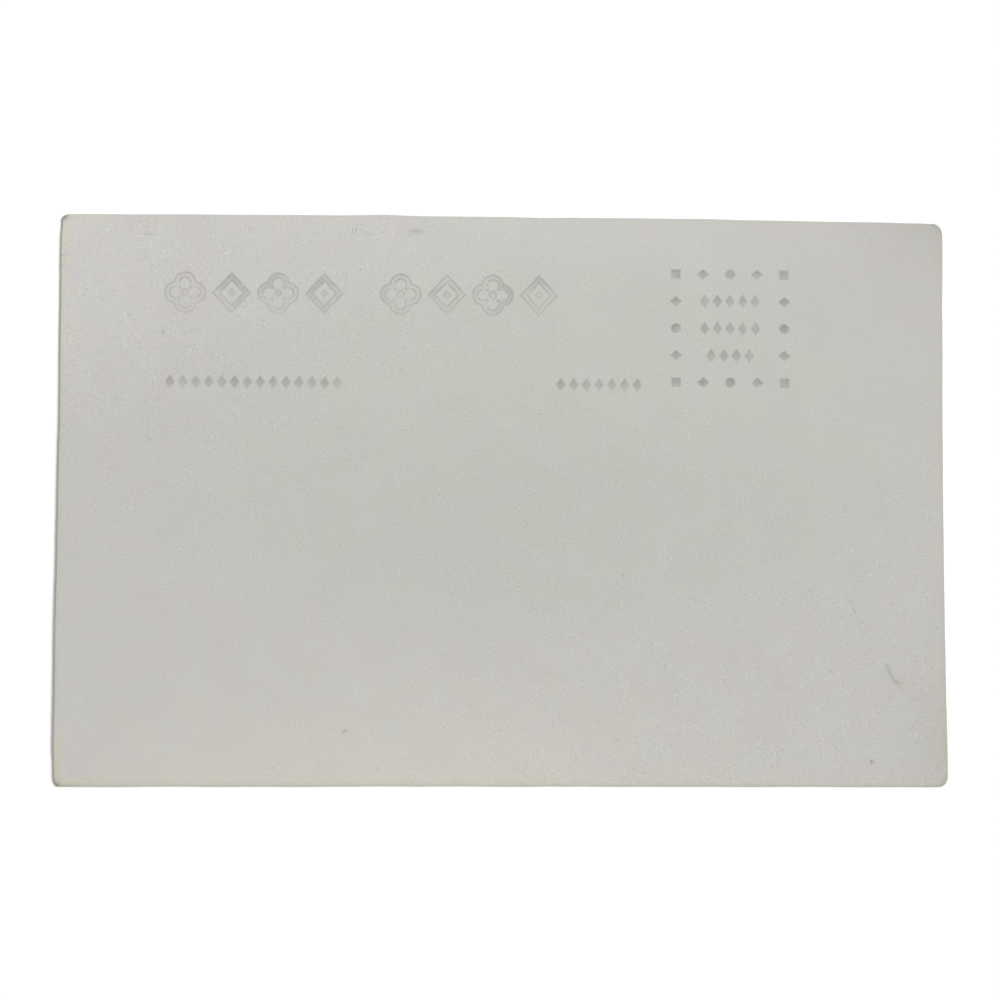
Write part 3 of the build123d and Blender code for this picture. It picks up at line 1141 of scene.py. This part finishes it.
def make_key():
    """Soft key light from the right."""
    light = bpy.data.lights.new("key", "SUN")
    light.energy = KEY_STRENGTH
    light.angle = math.radians(KEY_SOFTNESS)
    key = bpy.data.objects.new("key", light)
    azimuth, elevation = math.radians(KEY_AZIMUTH), math.radians(KEY_ELEVATION)
    level = math.cos(elevation)
    towards = Vector((level * math.cos(azimuth), level * math.sin(azimuth), math.sin(elevation)))
    key.rotation_euler = towards.to_track_quat("Z", "Y").to_euler()
    bpy.context.scene.collection.objects.link(key)


def make_camera():
    """Camera above the card, leaning a little towards its foot."""
    lens = bpy.data.cameras.new("camera")
    lens.lens = CAMERA_LENS
    lens.sensor_width = CAMERA_SENSOR
    camera = bpy.data.objects.new("camera", lens)
    backward = -Vector(CAMERA_AXIS).normalized()
    right = Vector(CAMERA_UP).cross(backward).normalized()
    turn = Matrix((right, backward.cross(right), backward)).transposed()
    camera.matrix_world = Matrix.Translation(Vector(CAMERA_PLACE) * MM) @ turn.to_4x4()
    bpy.context.scene.collection.objects.link(camera)
    bpy.context.scene.camera = camera


# The sheets, from the back to the picture side
card_plan = SheetPlan(grid_lines(half_width, MARK_COLUMNS), grid_lines(half_height, MARK_ROWS), CARD_SEED)
card = sheet("card_sheet", card_plan, base_level, back_level, worn_back=True)
card.data.materials.append(paper_material())
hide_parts("card_base")
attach(card, "root")

coat_plan = SheetPlan(grid_lines(half_width), grid_lines(half_height), COAT_SEED)
baryta = sheet("baryta_layer", coat_plan, baryta_level, base_level)
baryta.data.materials.append(baryta_material())
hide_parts("baryta_coat")
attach(baryta, "root")

picture = sheet("picture_coat", coat_plan, picture_level, baryta_level)
picture.data.materials.append(picture_material())
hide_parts("image_emulsion", "gelatin_topcoat")
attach(picture, "root")

# The prints: piece, node, ink inside the squeezed rim, and material
heading_ink = ink_material("heading_ink", HEADING_LIGHT)
caption_ink = ink_material("caption_ink", CAPTION_LIGHT)
stamp_ink = ink_material("stamp_ink", STAMP_LIGHT)
prints = (
    ("heading_left_ink", "heading_print_left", STROKE_BODY, heading_ink),
    ("heading_right_ink", "heading_print_right", STROKE_BODY, heading_ink),
    ("message_caption_ink", "message_caption_print", DOT_BODY, caption_ink),
    ("address_caption_ink", "address_caption_print", DOT_BODY, caption_ink),
    ("stamp_frame_ink", "stamp_frame_print", DOT_BODY, stamp_ink),
    ("stamp_note_ink", "stamp_note_print", DOT_BODY, caption_ink),
)
for number, (piece_name, node_name, ink_body, material) in enumerate(prints):
    ink = ink_piece(piece_name, node_name, ink_body, number + INK_SEED)
    ink.data.materials.append(material)
    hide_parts(node_name)
    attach(ink, "root")

make_floor()
make_world()
make_key()
make_camera()
bpy.context.scene.view_settings.view_transform = "Standard"
